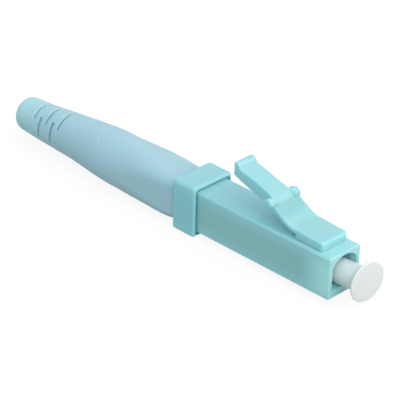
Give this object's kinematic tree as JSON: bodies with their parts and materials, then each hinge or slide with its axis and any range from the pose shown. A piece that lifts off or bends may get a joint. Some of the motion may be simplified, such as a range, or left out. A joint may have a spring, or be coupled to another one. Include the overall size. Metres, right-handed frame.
{
  "type": "lc fibre connector",
  "caption": "Small-form-factor fibre plug with a spring latch, floating ceramic ferrule, dust cap, cam-closed mechanical splice and slotted strain-relief boot.",
  "frame": {"origin": "centre of the plug's front face, on the ferrule's axis", "axes": "+X along the ferrule towards the mating end, +Z towards the latch, +Y to the left seen from behind"},
  "size_m": [0.0505, 0.006, 0.0103],
  "materials": {
    "aqua_housing": "satin moulded",
    "aqua_boot": "matte moulded elastomer",
    "zirconia": "polished ceramic",
    "silica_fibre": "polished",
    "holder_polymer": "matte",
    "splice_polymer": "satin",
    "cam_polymer": "matte",
    "spring_steel": "drawn wire",
    "retainer_polymer": "matte",
    "nickel_brass": "nickel plated",
    "guide_polymer": "satin",
    "natural_polyethylene": "translucent satin"
  },
  "bodies": {
    "plug": {"housing": "aqua_housing", "spring_retainer": "retainer_polymer", "ferrule_spring": "spring_steel"},
    "latch": {"latch_arm": "aqua_housing"},
    "ferrule_body": {"ferrule": "zirconia", "fibre_stub": "silica_fibre", "ferrule_holder": "holder_polymer", "splice_base": "splice_polymer", "splice_cover": "splice_polymer", "crimp_tube": "nickel_brass", "lead_in_tube": "guide_polymer"},
    "cam": {"cam_sleeve": "cam_polymer"},
    "cap": {"dust_cap": "natural_polyethylene"},
    "boot": {"boot": "aqua_boot"}
  },
  "joints": [
    {"name": "latch_press", "type": "hinge", "parent": "plug", "child": "latch", "pos_m": [-0.0051, 0, 0.00313], "axis": [0, -1, 0], "range_deg": [0, 13], "stiffness_Nm_per_rad": 0.06, "springref_deg": -2.86},
    {"name": "ferrule_float", "type": "slide", "parent": "plug", "child": "ferrule_body", "axis": [-1, 0, 0], "range_m": [0, 0.001], "stiffness_N_per_m": 1500, "springref_m": -0.003, "deforming": ["ferrule_spring"]},
    {"name": "cam_turn", "type": "hinge", "parent": "ferrule_body", "child": "cam", "pos_m": [-0.0174, 0, 0], "axis": [1, 0, 0], "range_deg": [0, 90]},
    {"name": "cap_pull", "type": "slide", "parent": "ferrule_body", "child": "cap", "axis": [1, 0, 0], "range_m": [0, 0.006]},
    {"name": "boot_pull", "type": "slide", "parent": "plug", "child": "boot", "axis": [-1, 0, 0], "range_m": [0, 0.012]}
  ]
}
